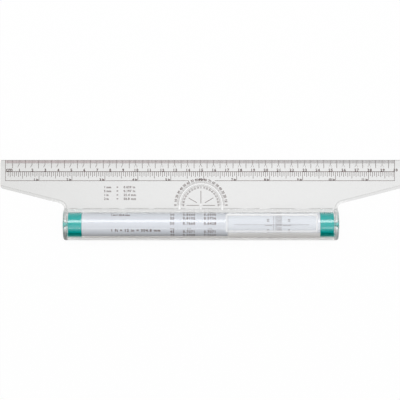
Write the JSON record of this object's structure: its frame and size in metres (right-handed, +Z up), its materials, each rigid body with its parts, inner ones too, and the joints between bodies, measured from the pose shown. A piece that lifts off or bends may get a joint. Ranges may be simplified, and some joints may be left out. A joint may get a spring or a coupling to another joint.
{
  "type": "rolling ruler",
  "caption": "Clear rolling ruler with a bevelled drawing edge, a protractor slot and a green-tyred roller that turns in a half-round cover with a reading window, for measuring and for drawing parallel lines.",
  "frame": {"origin": "on the table under the middle of the ruler's outline, where the tyres stand", "axes": "+X along the scale to the right, +Y to the drawing edge, +Z up from the table"},
  "size_m": [0.309, 0.0618, 0.0217],
  "materials": {
    "clear_plastic": "clear polished plastic",
    "white_plastic": "smooth, matt",
    "white_film": "matt printed film",
    "white_sheet": "smooth printed paper",
    "green_plastic": "gloss",
    "green_rubber": "smooth, semi-gloss"
  },
  "bodies": {
    "ruler": {"ruler_plate": "clear_plastic", "roller_cover": "clear_plastic", "left_end_cap": "clear_plastic", "right_end_cap": "clear_plastic"},
    "roller": {"roller_tube": "white_plastic", "table_sheet": "white_sheet", "distance_film": "white_film", "left_hub": "green_plastic", "right_hub": "green_plastic", "left_tyre": "green_rubber", "right_tyre": "green_rubber"}
  },
  "joints": [
    {"name": "roller_spin", "type": "hinge", "parent": "ruler", "child": "roller", "pos_m": [0, -0.0187, 0.0093], "axis": [1, 0, 0], "continuous": true}
  ]
}
